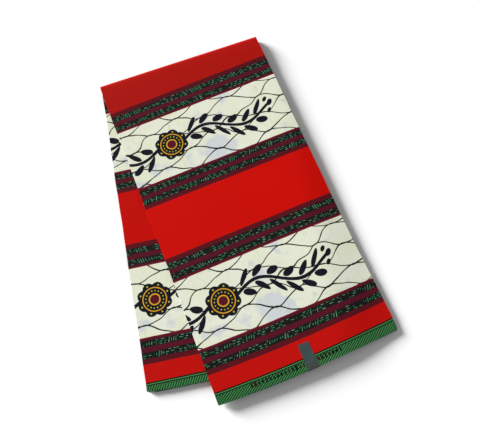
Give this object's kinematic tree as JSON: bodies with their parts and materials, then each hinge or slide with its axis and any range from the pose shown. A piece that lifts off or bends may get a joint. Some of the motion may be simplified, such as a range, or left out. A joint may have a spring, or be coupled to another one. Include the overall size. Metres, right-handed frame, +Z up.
{
  "type": "folded wax print fabric",
  "caption": "Length of printed cotton cloth, folded to and fro into a flat pile and folded over once, its lower half fanned out to one side.",
  "frame": {"origin": "middle of the folded cloth's footprint, on the surface that it lies on", "axes": "+Y along the upper half from the selvedges to the fold, +X to the right seen from above, +Z up"},
  "size_m": [0.4094, 0.6186, 0.0168],
  "materials": {
    "front_print": "smooth printed plain weave cotton, slight wax finish sheen",
    "layers_print": "smooth printed plain weave cotton, slight wax finish sheen",
    "back_print": "smooth printed plain weave cotton, slight wax finish sheen",
    "sticker_paper": "coated paper, satin, blank"
  },
  "bodies": {
    "root": {"front_cloth": "front_print", "hidden_layers": "layers_print", "back_cloth": "back_print", "selvedge_sticker": "sticker_paper"}
  },
  "joints": []
}
